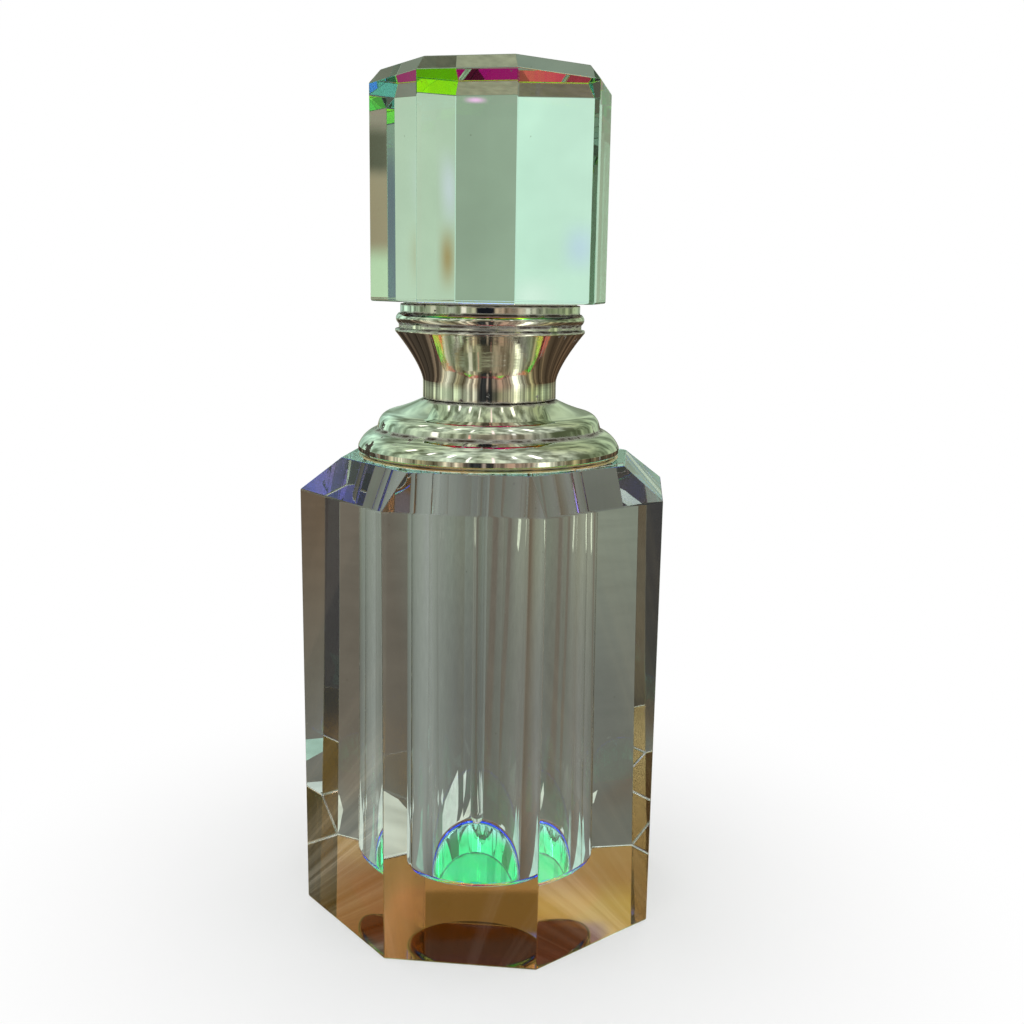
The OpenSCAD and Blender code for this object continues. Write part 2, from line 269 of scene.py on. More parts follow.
def finished_mesh(name, points, faces, normals=None):
    """A piece at the origin with its place in its mesh, smooth, with its own normals where given."""
    mesh = bpy.data.meshes.new(name)
    mesh.from_pydata(points.tolist(), [], faces)
    mesh.polygons.foreach_set("use_smooth", np.ones(len(mesh.polygons), bool))
    mesh.update()
    if normals is not None:
        mesh.normals_split_custom_set_from_vertices(normals.tolist())
    piece = bpy.data.objects.new(name, mesh)
    bpy.context.scene.collection.objects.link(piece)
    return piece


# Shader maths

class Socket:
    """One output in a material. An operator between sockets and numbers adds its Math node."""

    def __init__(self, shader, output):
        self.shader = shader
        self.output = output

    def math(self, operation, *values):
        """The Math node of that operation on those values."""
        return self.shader.add("ShaderNodeMath", values, operation=operation)

    def __add__(self, other):
        return self.math("ADD", self, other)

    __radd__ = __add__

    def __sub__(self, other):
        return self.math("SUBTRACT", self, other)

    def __rsub__(self, other):
        return self.math("SUBTRACT", other, self)

    def __mul__(self, other):
        return self.math("MULTIPLY", self, other)

    __rmul__ = __mul__

    def __truediv__(self, other):
        return self.math("DIVIDE", self, other)

    def __rtruediv__(self, other):
        return self.math("DIVIDE", other, self)

    def sine(self):
        return self.math("SINE", self)

    def size(self):
        """The value without its sign."""
        return self.math("ABSOLUTE", self)

    def least(self, other):
        return self.math("MINIMUM", self, other)

    def most(self, other):
        return self.math("MAXIMUM", self, other)

    def ramp(self, *stops):
        """A colour for this value, from (value, red, green, blue) stops."""
        return self.shader.add("ShaderNodeValToRGB", [self], stops=stops)

    def step(self, low, high):
        """0 under low and 1 over high, with a smooth rise between them."""
        settings = {"interpolation_type": "SMOOTHSTEP"}
        return self.shader.add("ShaderNodeMapRange", [self, low, high, 0, 1], **settings)


class Shader:
    """A node tree under construction, of a material or of the world."""

    def __init__(self, owner):
        owner.use_nodes = True
        self.owner = owner
        self.tree = owner.node_tree
        self.tree.nodes.clear()

    def add(self, kind, values=(), output=0, stops=None, **settings):
        """A node of that kind: its settings first, then its sockets by place or by name. A colour is given
        as red, green and blue."""
        node = self.tree.nodes.new(kind)
        for name, setting in settings.items():
            setattr(node, name, setting)
        if stops:
            elements = node.color_ramp.elements
            while len(elements) < len(stops):
                elements.new(1)
            for element, (place, *colour) in zip(elements, stops):
                element.position = place
                element.color = (*colour, 1)
        for key, value in values.items() if isinstance(values, dict) else enumerate(values):
            if isinstance(value, Socket):
                self.tree.links.new(value.output, node.inputs[key])
            else:
                is_colour = node.inputs[key].type == "RGBA"
                node.inputs[key].default_value = (*value, 1) if is_colour else value
        return Socket(self, node.outputs[output])

    def spot(self):
        """Where a spot is."""
        return self.add("ShaderNodeTexCoord", output="Object")

    def axis(self, name, vector=None):
        """The X, Y or Z of a vector, or of the spot."""
        return self.add("ShaderNodeSeparateXYZ", [vector or self.spot()], output=name)

    def length(self, vector):
        """How long a vector is."""
        return self.add("ShaderNodeVectorMath", [vector], output="Value", operation="LENGTH")

    def place(self, scale=(1, 1, 1)):
        """Where a spot is, scaled for a pattern."""
        return self.add("ShaderNodeMapping", {"Vector": self.spot(), "Scale": scale})

    def noise(self, scale, detail=3, roughness=0.5, vector=None, distortion=0):
        """Noise from 0 to 1 with features one metre over scale wide."""
        values = {"Vector": vector or self.place(), "Scale": scale, "Detail": detail,
                  "Roughness": roughness, "Distortion": distortion}
        return self.add("ShaderNodeTexNoise", values)

    def from_axis(self):
        """How far a spot stands from the axis."""
        flat = self.add("ShaderNodeVectorMath", [self.spot(), (1, 1, 0)], operation="MULTIPLY")
        return self.length(flat)

    def cells(self, spacing):
        """Distance to the nearest of scattered points, as a share of how far apart they are."""
        values = {"Vector": self.place(), "Scale": 1 / spacing}
        return self.add("ShaderNodeTexVoronoi", values, output="Distance")

    def principled(self, **values):
        """A Principled surface: each keyword is one of its sockets, with _ for a space."""
        sockets = {name.replace("_", " "): value for name, value in values.items()}
        return self.add("ShaderNodeBsdfPrincipled", sockets)

    def glow(self, colour, strength=1):
        """Light of that colour, whatever shines on it."""
        return self.add("ShaderNodeEmission", {"Color": colour, "Strength": strength})

    def mix(self, factor, first, second, blend="MIX"):
        """A colour between two colours. The Mix node has its sockets for colours at these places."""
        values = {0: factor, 6: first, 7: second}
        return self.add("ShaderNodeMix", values, output=2, data_type="RGBA", blend_type=blend)

    def bump(self, height, distance, over=None):
        """A normal for a height from 0 to 1 that stands for that distance, over another normal or none."""
        values = {"Strength": 1, "Distance": distance, "Height": height}
        return self.add("ShaderNodeBump", {**values, "Normal": over} if over else values)

    def finish(self, surface, volume=None):
        """Ends the tree with its surface, and gives back the material or the world."""
        is_world = isinstance(self.owner, bpy.types.World)
        output = self.tree.nodes.new("ShaderNodeOutputWorld" if is_world else "ShaderNodeOutputMaterial")
        self.tree.links.new(surface.output, output.inputs["Surface"])
        if volume:
            self.tree.links.new(volume.output, output.inputs["Volume"])
        return self.owner

    def skinned(self, **values):
        """Ends the tree with a Principled surface."""
        return self.finish(self.principled(**values))


def new_material(name):
    """The shader of a new material."""
    return Shader(bpy.data.materials.new(name))


def dress(piece, *materials):
    """Gives a piece its materials, in the order of its faces' material numbers."""
    piece.data.materials.clear()
    for material in materials:
        piece.data.materials.append(material)


# The crystals

# Radii of the polished arrises: of the body's upright ones, of the stopper's, and of those that go round
BODY_ARRIS = 0.22 * MM
STOPPER_ARRIS = 0.2 * MM
EDGE_FILLET = 0.3 * MM
# The crown's lower edge is drawn this much lower
CROWN_DEEPER = 0.2 * MM
# The outermost part of the adhesive doesn't wet the crystal
GLUE_EDGE = 0.2 * MM
# The reservoir is narrower than this share of the flat top
BORE_LIMIT_SHARE = 2 / 3
FLOOR_CORNER_STEPS = 7


def crystal_body_piece():
    """The body: the octagonal block's outline up to its flat top, then down the drilled reservoir."""
    levels = block_levels("crystal_body")
    points = vertices_of("crystal_body")
    radius, height = np.hypot(points[:, 0], points[:, 1]), points[:, 2]
    inner = radius < BORE_LIMIT_SHARE * levels[-1, 0]
    bore = radius[inner].max()
    floor = height[inner].min()
    corner = bore - radius[inner & (height < floor + SAME)].max()
    rows = [(0, 0), (levels[0, 0] / 2, 0), *levels, (glued_radius(), levels[-1, 1])]
    rows += [(glued_radius() - GLUE_EDGE, levels[-1, 1]), (bore, levels[-1, 1]), (bore, floor + corner)]
    rows += [(bore - corner * (1 - math.cos(a)), floor + corner * (1 - math.sin(a)))
             for a in np.linspace(0, TURN / 4, FLOOR_CORNER_STEPS + 1)[1:]]
    rows += [(bore / 2, floor), (0, floor)]
    outline = rounded(np.array(rows), False, EDGE_FILLET)
    on_circle = (outline[:, 0] < glued_radius() + SAME) & (outline[:, 1] > floor - SAME)
    ring = facet_ring(block_yaw("crystal_body"))
    return carried_round("cut_crystal_body", outline, False, ring, BODY_ARRIS, on_circle)


def glued_radius():
    """How far out the adhesive reaches over the top of the body."""
    points = vertices_of("collar_adhesive")
    return np.hypot(points[:, 0], points[:, 1]).max()


def crystal_stopper_piece():
    """The stopper: the outline of its octagonal block and crown."""
    levels = block_levels("crystal_stopper")
    levels[-2, 1] -= CROWN_DEEPER
    (widest, base), (narrowest, top) = levels[0], levels[-1]
    rows = [(0, base), (widest / 2, base), *levels, (narrowest / 2, top), (0, top)]
    outline = rounded(np.array(rows), False, EDGE_FILLET)
    yaw = block_yaw("crystal_stopper")
    return carried_round("cut_crystal_stopper", outline, False, facet_ring(yaw), STOPPER_ARRIS)


def finish_faces(piece, glued=0):
    """Gives the flat underside the second material, and the flat top out to the glued radius the third."""
    centres = np.empty(3 * len(piece.data.polygons))
    piece.data.polygons.foreach_get("center", centres)
    x, y, height = centres.reshape(-1, 3).T
    underside = height < height.min() + SAME
    glued_top = (height > height.max() - SAME) & (np.hypot(x, y) < glued)
    piece.data.polygons.foreach_set("material_index", underside + 2 * glued_top)


# Crystal bends light a little less than lead glass, and takes a smoky tint with depth, and the stopper a
# green
# # one. That green is painted light: it stands for a mint wall seen through the stopper
CRYSTAL_IOR = 1.47
# Polished faces waver by this much over about a centimetre, and carry a few specks of dust
WAVER = 0.004 * MM
SPECK_SPACING, SPECK_SHARE = 3.5 * MM, 0.022
# How deep the streaks of the drawn rod are
ROD_STREAK = 0.002 * MM


def crystal(name, colour, density):
    """Clear polished crystal that tints with depth: light loses 1 - colour over 1 / density metres."""
    shader = new_material(name)
    waver = shader.bump(shader.noise(110, 2, 0.5), WAVER)
    speck = shader.cells(SPECK_SPACING).step(SPECK_SHARE, SPECK_SHARE * 2)
    skin = shader.mix(speck, (0.62, 0.6, 0.56), (1, 1, 1))
    glass = shader.principled(
        Base_Color=skin, Roughness=0, IOR=CRYSTAL_IOR, Transmission_Weight=1, Normal=waver)
    depth = shader.add("ShaderNodeVolumeAbsorption", {"Color": colour, "Density": density})
    return shader.finish(glass, depth)


def drawn_glass():
    """The rod's glass, drawn out lengthwise: fine streaks run along it."""
    shader = new_material("rod_glass")
    lengthwise = shader.noise(1400, 2, 0.6, shader.place((1, 1, 0.015)))
    tint = lengthwise.ramp((0.3, 0.9, 0.93, 0.92), (0.6, 1, 1, 1))
    glass = shader.principled(
        Base_Color=tint, Roughness=0, IOR=CRYSTAL_IOR, Transmission_Weight=1,
        Normal=shader.bump(lengthwise, ROD_STREAK))
    depth = shader.add("ShaderNodeVolumeAbsorption", {"Color": (0.9, 0.95, 0.93), "Density": 5})
    return shader.finish(glass, depth)


# What the vapour coatings reflect by the angle, in degrees, at which they are looked into from inside the
# crystal. The body's is the thicker one, and its colours come at smaller angles
BODY_COAT = (
    (0, 0.75, 0, 0.4), (10, 0.8, 0.02, 0.3), (22, 0.9, 0.3, 0.12), (28, 0.8, 0.85, 0.15),
    (33, 0.09, 0.96, 0.14), (37, 0.02, 1, 0.32), (41, 0.42, 0.95, 0.86), (45, 0.46, 0.88, 0.85),
    (51, 0.4, 0.8, 0.8), (57, 0, 0.1, 0.95), (61, 0, 0.07, 0.9), (64, 0.38, 0.28, 0.5),
    (67, 0.43, 0.2, 0.125), (70, 0.42, 0.225, 0.12), (73, 0.42, 0.28, 0.17), (85, 0.8, 0.8, 0.7))
STOPPER_COAT = (
    (0, 0.75, 0, 0.28), (9, 0.9, 0, 0.32), (15, 0.9, 0.01, 0.2), (22, 0.9, 0.06, 0.12),
    (28, 0.9, 0.5, 0.05), (34, 0.5, 1, 0), (38, 0.48, 1, 0), (44, 0.1, 0.75, 0.3),
    (54, 0.08, 0.35, 0.26), (62, 0.15, 0.15, 0.4), (70, 0.6, 0.45, 0.3), (85, 0.8, 0.8, 0.7))
# From this radius outward, as far as the next one, the body's coating thins, which turns its green to cyan
COAT_EVEN, COAT_THIN = 9 * MM, 12 * MM
COAT_SHIFT = 0.035
# Looked along, the coatings turn to a warm white
COAT_EDGE = (1, 0.91, 0.7)
# The coatings are uneven by this much of the same measure, in smears across the face, and worn off in
# pinholes this far apart
COAT_SMEAR = 0.04
PINHOLE_SPACING = 2.2 * MM


def shifting_coat(name, colours, shift):
    """The vapour coating under a crystal: a mirror whose colour follows how steeply it is looked into.
    Layer Weight's Facing is 1 less the cosine of that angle. A metal turns white by the fifth power of it,
    so the stops are what it reflects beyond that."""
    shader = new_material(name)
    stops = []
    for angle, *seen in colours:
        facing = 1 - math.cos(math.radians(angle))
        white = facing ** 5
        stops.append((facing, *[max(0, (share - white) / (1 - white)) for share in seen]))
    facing = shader.add("ShaderNodeLayerWeight", {"Blend": 0.5}, output="Facing")
    smears = (shader.noise(90, 4, 0.65, shader.place((0.35, 2, 1))) - 0.5) * COAT_SMEAR
    colour = (facing + shader.from_axis().step(COAT_EVEN, COAT_THIN) * shift + smears).ramp(*stops)
    unworn = shader.cells(PINHOLE_SPACING).step(0.02, 0.06)
    colour = shader.mix(unworn, (0.3, 0.27, 0.22), colour)
    return shader.skinned(Base_Color=colour, Metallic=1, Roughness=0.02, Specular_Tint=COAT_EDGE)


# Spots where the plate of the collar has rusted through: their places and how wide they are, in mm
RUST_SPOTS = (
    ((-11.7, -6.3, 61.7), 1.3), ((-13.5, -9.1, 59.3), 1.5),
    ((13.7, -0.5, 61.7), 0.7), ((16.2, -2, 59.2), 0.8))
# Noise moves the torn edge of a rust spot by up to this share of its width
TORN_SHARE = 2.6
# Grime and painted shade reach this far from a crevice of the plate, and tarnish spots this far. Both
# # are full over this share of it
GRIME_AND_SHADE_REACH, SPOT_REACH = 0.32 * MM, 1.5 * MM
CREVICE_SHARE = 0.1
# Rings from the polishing wheel: how high and deep they are, and how many times as long as high
RING_HEIGHT, RING_DEPTH, RING_STRETCH = 0.16 * MM, 0.002 * MM, 20
# The stamped sheet under the plate wavers by this much
SHEET_WAVER = 0.01 * MM
# Tool lines of the lathe: how far apart and how deep they are
TOOL_LINE_PITCH, TOOL_LINE_DEPTH = 0.14 * MM, 0.003 * MM
# The liner's thread rubs the neck from the first radius on, and fully from the second
RUBBED_FROM, RUBBED_TO = 6.2 * MM, 6.5 * MM


def near_any(shader, heights, reach):
    """1 by the given heights, and 0 further from each of them than the reach."""
    up = shader.axis("Z")
    share = None
    for height in heights:
        here = 1 - ((up - height).size() / reach).step(CREVICE_SHARE, 1)
        share = here if share is None else share.most(here)
    return share


def bright_plate(node):
    """Nickel and chrome plate: rings from the polishing wheel, a slight waver of the stamped sheet under
    them, yellowed clouds, crevices that are grimy and darkened with painted shade, and a few spots
    where rust has come through."""
    shader = new_material("plate_of_" + node)
    cloud = shader.noise(160, 4, 0.6)
    clean = cloud.ramp((0.3, 0.74, 0.73, 0.6), (0.5, 0.79, 0.8, 0.71), (0.7, 0.81, 0.82, 0.76))
    seams = crevices_of(node)
    patchy = shader.noise(420, 4, 0.65)
    # Dark brown by the crevices and the ends: partly grime, partly painted shade of the creases
    grime_and_shade = near_any(shader, seams, GRIME_AND_SHADE_REACH) * patchy.step(0.34, 0.6)
    spots = near_any(shader, seams, SPOT_REACH) * shader.noise(700, 3, 0.6).step(0.66, 0.7)
    dirt_and_shade = grime_and_shade.most(spots)
    if node == "collar_shell":
        torn = (shader.noise(1100, 3, 0.6) - 0.5) * TORN_SHARE
        for centre, width in RUST_SPOTS:
            values = [shader.spot(), tuple(MM * c for c in centre)]
            away = shader.add("ShaderNodeVectorMath", values, output="Value", operation="DISTANCE")
            dirt_and_shade = dirt_and_shade.most(1 - (away / (width * MM) + torn).step(0.62, 0.75))
    # Rust, tarnish, grime and the painted crevice shade share one dark brown
    colour = shader.mix(dirt_and_shade, clean, (0.05, 0.032, 0.02))
    rings = shader.noise(1 / (RING_STRETCH * RING_HEIGHT), 3, 0.6, shader.place((1, 1, RING_STRETCH)))
    rough = 0.015 + 0.03 * cloud + 0.015 * rings + 0.5 * dirt_and_shade
    wavy = shader.bump(shader.noise(150, 2, 0.5), SHEET_WAVER)
    return shader.skinned(
        Base_Color=colour, Metallic=1 - 0.92 * dirt_and_shade, Roughness=rough, Specular_IOR_Level=0.2,
        Normal=shader.bump(rings, RING_DEPTH, wavy))


def turned_metal():
    """The neck's metal: plated over the tool lines of a lathe, dull where the liner's thread rubs it."""
    shader = new_material("turned_metal")
    line = (shader.axis("Z") * (TURN / TOOL_LINE_PITCH) + 3 * shader.noise(300)).sine() * 0.5 + 0.5
    rubbed = shader.from_axis().step(RUBBED_FROM, RUBBED_TO) * shader.noise(900, 3, 0.6).step(0.35, 0.65)
    cloud = shader.noise(250, 4, 0.6)
    tint = cloud.ramp((0.3, 0.66, 0.63, 0.55), (0.55, 0.78, 0.77, 0.72), (0.75, 0.82, 0.82, 0.8))
    colour = shader.mix(rubbed, tint, (0.86, 0.84, 0.78))
    rough = 0.16 + 0.16 * cloud + 0.08 * line
    return shader.skinned(
        Base_Color=colour, Metallic=1, Roughness=rough, Normal=shader.bump(line, TOOL_LINE_DEPTH))


# The adhesive is pale under the collar and has yellowed beyond this radius, where it is squeezed out
AMBER_FROM, AMBER_TO = 15.4 * MM, 16 * MM
# A painted glow on the glued face, as a share of a lit white: it stands for the light that the crystal's
# facets gather there
PAINTED_GATHERED_GLOW = 1.35
# How far apart the bubbles of the two adhesives are, and how deep
AMBER_BUBBLES, AMBER_BUBBLE_DEPTH = 0.7 * MM, 0.02 * MM
CLEAR_BUBBLES, CLEAR_BUBBLE_DEPTH = 0.9 * MM, 0.015 * MM
# How deep the scuffs of the insert and the grain of the liner are, and how far light goes into both
SCUFF_DEPTH, GRAIN_DEPTH = 0.004 * MM, 0.003 * MM
INSERT_MILK, LINER_MILK = 0.5 * MM, 0.4 * MM
# The foam's cells and pits: how far apart they are, and how deep
FOAM_CELLS, FOAM_PITS, FOAM_DEPTH = 0.16 * MM, 0.8 * MM, 0.05 * MM


def glued_face_painted_glow():
    """The crystal's face under the adhesive, seen from inside: pale, with yellow and bare patches. A painted
    glow stands for the light that the facets gather on it.
    """
    shader = new_material("glued_face_painted_glow")
    cloud = shader.noise(260, 4, 0.6)
    tint = cloud.ramp((0.32, 0.55, 0.5, 0.38), (0.45, 0.9, 0.93, 0.86), (0.7, 0.97, 1, 0.97))
    # The emission is painted light: it stands for the light that the facets gather on this face
    return shader.skinned(Base_Color=tint, Roughness=0.5, Emission_Color=tint, Emission_Strength=PAINTED_GATHERED_GLOW)


def amber():
    """Cured adhesive, amber along its open edge, with darker and greener stretches round the bottle and
    small bubbles, and pale under the collar."""
    shader = new_material("amber")
    stretch = shader.noise(120, 3, 0.6)
    edge = stretch.ramp((0.35, 0.38, 0.22, 0.08), (0.5, 0.66, 0.47, 0.2), (0.65, 0.33, 0.43, 0.2))
    yellowed = shader.from_axis().step(AMBER_FROM, AMBER_TO)
    colour = shader.mix(yellowed, (0.93, 0.95, 0.88), edge)
    bubble = shader.cells(AMBER_BUBBLES).step(0.12, 0.3)
    colour = shader.mix(0.35 * (1 - bubble), colour, (0.3, 0.2, 0.08))
    return shader.skinned(
        Base_Color=colour, Roughness=0.2 + 0.15 * stretch, Coat_Weight=0.3,
        Normal=shader.bump(bubble, AMBER_BUBBLE_DEPTH))


def clear_bond():
    """Clear cured adhesive with bubbles and a faint yellow cast in places."""
    shader = new_material("clear_bond")
    bubble = shader.cells(CLEAR_BUBBLES).step(0.1, 0.28)
    cast = shader.noise(200, 3).ramp((0.35, 0.74, 0.72, 0.6), (0.6, 0.86, 0.87, 0.82))
    colour = shader.mix(bubble, (0.95, 0.96, 0.94), cast)
    return shader.skinned(
        Base_Color=colour, Roughness=0.12 + 0.1 * bubble, Coat_Weight=0.4,
        Normal=shader.bump(bubble, CLEAR_BUBBLE_DEPTH))


def soft_polymer():
    """Soft polyethylene: milky, with flow marks from the mould and faint scuffs."""
    shader = new_material("soft_polymer")
    flow = shader.noise(260, 3, 0.5, distortion=1.5)
    colour = flow.ramp((0.3, 0.68, 0.68, 0.63), (0.55, 0.76, 0.76, 0.73), (0.75, 0.8, 0.8, 0.78))
    scuff = shader.noise(2500, 3, 0.7)
    return shader.skinned(
        Base_Color=colour, Roughness=0.32 + 0.2 * scuff, Subsurface_Weight=0.25, Subsurface_Scale=INSERT_MILK,
        Normal=shader.bump(scuff, SCUFF_DEPTH))


def liner_polymer():
    """Moulded polypropylene: a waxy off-white with a fine satin grain and a yellower cast in places."""
    shader = new_material("liner_polymer")
    cloud = shader.noise(140, 3, 0.5)
    colour = cloud.ramp((0.3, 0.74, 0.73, 0.67), (0.6, 0.8, 0.8, 0.77))
    grain = shader.noise(5000, 2, 0.6)
    return shader.skinned(
        Base_Color=colour, Roughness=0.24 + 0.16 * grain, Subsurface_Weight=0.15, Subsurface_Scale=LINER_MILK,
        Normal=shader.bump(grain, GRAIN_DEPTH))


def seal_foam():
    """Dense foam: fine closed cells with a darker pit here and there."""
    shader = new_material("seal_foam")
    cell = shader.cells(FOAM_CELLS)
    flat = shader.cells(FOAM_PITS).step(0.1, 0.25)
    tone = shader.noise(400, 3).ramp((0.3, 0.82, 0.78, 0.67), (0.7, 0.91, 0.88, 0.8))
    colour = shader.mix(0.35 * cell.step(0.3, 0.8), tone, (0.62, 0.57, 0.46))
    colour = shader.mix(1 - flat, colour, (0.5, 0.45, 0.35))
    height = (1 - cell) * 0.4 + flat * 0.6
    return shader.skinned(
        Base_Color=colour, Roughness=0.7 + 0.2 * cell, Normal=shader.bump(height, FOAM_DEPTH))


# The pieces

# Cured adhesive stops this short of the crystal, so that the crystal's own face is the one that is seen
GLUE_GAP = 0.02 * MM


def turned_piece(name, node, material, fillet, inset):
    """A turned CAD node drawn again at a finer grain, with its corners eased and its skin drawn in."""
    outline, closed = turned_outline(node)
    outline = rounded(outline, closed, fillet)
    outline = outline - inset * outline_normals(outline, closed)
    outline[:, 0] = np.maximum(outline[:, 0], 0)
    piece = carried_round(name, outline, closed, round_ring())
    dress(piece, material)
    return piece


body_crystal = crystal("smoke_crystal", (0.565, 0.585, 0.55), 10)
# The stopper's green tint is painted: it stands for the light of a mint wall seen through it
stopper_crystal = crystal("painted_green_crystal", (0.64, 0.885, 0.76), 20)
body_coat = shifting_coat("body_coat", BODY_COAT, COAT_SHIFT)
stopper_coat = shifting_coat("stopper_coat", STOPPER_COAT, 0)

body = crystal_body_piece()
dress(body, body_crystal, body_coat, glued_face_painted_glow())
finish_faces(body, glued_radius() - GLUE_EDGE)
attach(body, "bottle")
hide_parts("crystal_body")

stopper = crystal_stopper_piece()
dress(stopper, stopper_crystal, stopper_coat)
finish_faces(stopper)
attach(stopper, "stopper")
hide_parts("crystal_stopper")

# Each turned piece: its name, its node, its body, its slot, its material, its corners' fillet in mm and how
# far its skin is drawn in
for name, node, rides, slot, material, fillet, inset in (
        ("collar_bell", "collar_shell", "bottle", "bright_plate", bright_plate("collar_shell"), 0.15, 0),
        ("ferrule_flare", "ferrule_shell", "stopper", "bright_plate", bright_plate("ferrule_shell"), 0.15, 0),
        ("bead_cup", "beaded_cup", "stopper", "bright_plate", bright_plate("beaded_cup"), 0.12, 0),
        ("glass_rod", "dip_rod", "stopper", "rod_glass", drawn_glass(), 0.2, 0),
        ("amber_bead", "collar_adhesive", "bottle", "amber_adhesive", amber(), 0.05, GLUE_GAP),
        ("bond_disc", "stopper_adhesive", "stopper", "clear_adhesive", clear_bond(), 0.05, GLUE_GAP),
        ("wiper_insert", "orifice_insert", "bottle", "soft_polymer", soft_polymer(), 0.15, 0),
        ("foam_washer", "seal_washer", "seal", "seal_foam", seal_foam(), 0.1, 0)):
    piece = turned_piece(name, node, material, fillet * MM, inset)
    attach(piece, rides)
    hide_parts(node)
dress(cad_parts["neck_bush"], turned_metal())
dress(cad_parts["thread_liner"], liner_polymer())


# The studio

# The photograph's camera: its place in mm, how far it is turned right, tilted down and rolled, in degrees,
# and its focal length on film that is so wide, in mm
EYE_PLACE = (18.196, -144.341, 78.780)
EYE_YAW, EYE_PITCH, EYE_ROLL = -5.973, 11.030, 0.888
FOCAL_LENGTH, FILM_WIDTH = 40.518, 36
CLIP_START, CLIP_END = 5 * MM, 20


def camera():
    """Stands where the photograph was taken and looks the same way."""
    yaw, pitch, roll = np.radians([EYE_YAW, EYE_PITCH, EYE_ROLL]).tolist()
    ahead = np.array([math.sin(yaw) * math.cos(pitch), math.cos(yaw) * math.cos(pitch), -math.sin(pitch)])
    level = np.array([math.cos(yaw), -math.sin(yaw), 0])
    above = np.cross(level, ahead)
    right = math.cos(roll) * level + math.sin(roll) * above
    up = math.cos(roll) * above - math.sin(roll) * level
    data = bpy.data.cameras.new("camera")
    data.lens, data.sensor_width = FOCAL_LENGTH, FILM_WIDTH
    data.clip_start, data.clip_end = CLIP_START, CLIP_END
    eye = bpy.data.objects.new("camera", data)
    place = np.array(EYE_PLACE) * MM
    eye.matrix_world = Matrix([*np.column_stack([right, up, -ahead, place]).tolist(), (0, 0, 0, 1)])
    bpy.context.scene.collection.objects.link(eye)
    bpy.context.scene.camera = eye


# Cards stand on wide spheres round the middle of the bottle
CARD_CENTRE = np.array([0, 0, 50 * MM])
CARD_STEPS = 24
RING_STEPS = 96


def seen_only(card, through_glass):
    """A card that is seen only through glass, or else only in metal: it lights nothing, and the camera
    looks through it."""
    card.visible_camera = False
    card.visible_diffuse = False
    card.visible_shadow = False
    card.visible_volume_scatter = False
    card.visible_transmission = through_glass
    card.visible_glossy = not through_glass


def glowing(name, colour, strength, soft):
    """A glow that fades out over that share of the card at each of its edges."""
    shader = new_material(name)
    place = shader.add("ShaderNodeUVMap")
    u, v = shader.axis("X", place), shader.axis("Y", place)
    edge = (u.least(1 - u)).step(0, soft) * (v.least(1 - v)).step(0, soft)
    cloud = shader.noise(2.5, 4, 0.6).ramp((0.35, 0.9, 0.9, 0.9), (0.65, 1.1, 1.1, 1.1))
    uneven = shader.mix(1, colour, cloud, "MULTIPLY")
    clear = shader.add("ShaderNodeBsdfTransparent")
    return shader.finish(shader.add("ShaderNodeMixShader", [edge, clear, shader.glow(uneven, strength)]))


def sphere_patch(name, azimuth, elevation, width, height, radius):
    """A patch of a sphere round the middle of the bottle, with its UV map. Its middle lies at an azimuth,
    which is 0 straight behind the bottle and 90 on its right, and at an elevation."""
    u, v = np.meshgrid(np.linspace(0, 1, CARD_STEPS + 1), np.linspace(0, 1, CARD_STEPS + 1))
    u, v = u.ravel(), v.ravel()
    around = np.radians(azimuth + (u - 0.5) * width)
    up = np.radians(np.clip(elevation + (v - 0.5) * height, -90, 90))
    points = CARD_CENTRE + radius * np.column_stack([
        np.cos(up) * np.sin(around), np.cos(up) * np.cos(around), np.sin(up)])
    row = CARD_STEPS + 1
    corners = [i * row + j for i in range(CARD_STEPS) for j in range(CARD_STEPS)]
    piece = finished_mesh(name, points, [(c, c + 1, c + row + 1, c + row) for c in corners])
    used = np.empty(len(piece.data.loops), int)
    piece.data.loops.foreach_get("vertex_index", used)
    layer = piece.data.uv_layers.new(name="UVMap")
    layer.data.foreach_set("uv", np.column_stack([u, v])[used].ravel())
    return piece


def cards(table, through_glass):
    """The cards of a table. Each stands for a lamp, a wall or a shade of the room."""
    for name, (azimuth, elevation, width, height, colour, strength, soft, radius) in table.items():
        piece = sphere_patch(name, azimuth, elevation, width, height, radius)
        dress(piece, glowing(name, colour, strength, soft))
        seen_only(piece, through_glass)


def ring_mesh(name, inner, outer, height):
    """A flat ring: its points stand at (radius cos angle, radius sin angle, height)."""
    angle = TURN * np.arange(RING_STEPS) / RING_STEPS
    circle = np.column_stack([np.cos(angle), np.sin(angle), 0 * angle])
    points = np.vstack([inner * circle, outer * circle]) + [0, 0, height]
    here = np.arange(RING_STEPS)
    beyond = np.roll(here, -1)
    faces = np.column_stack([here, here + RING_STEPS, beyond + RING_STEPS, beyond]).tolist()
    return finished_mesh(name, points, faces)


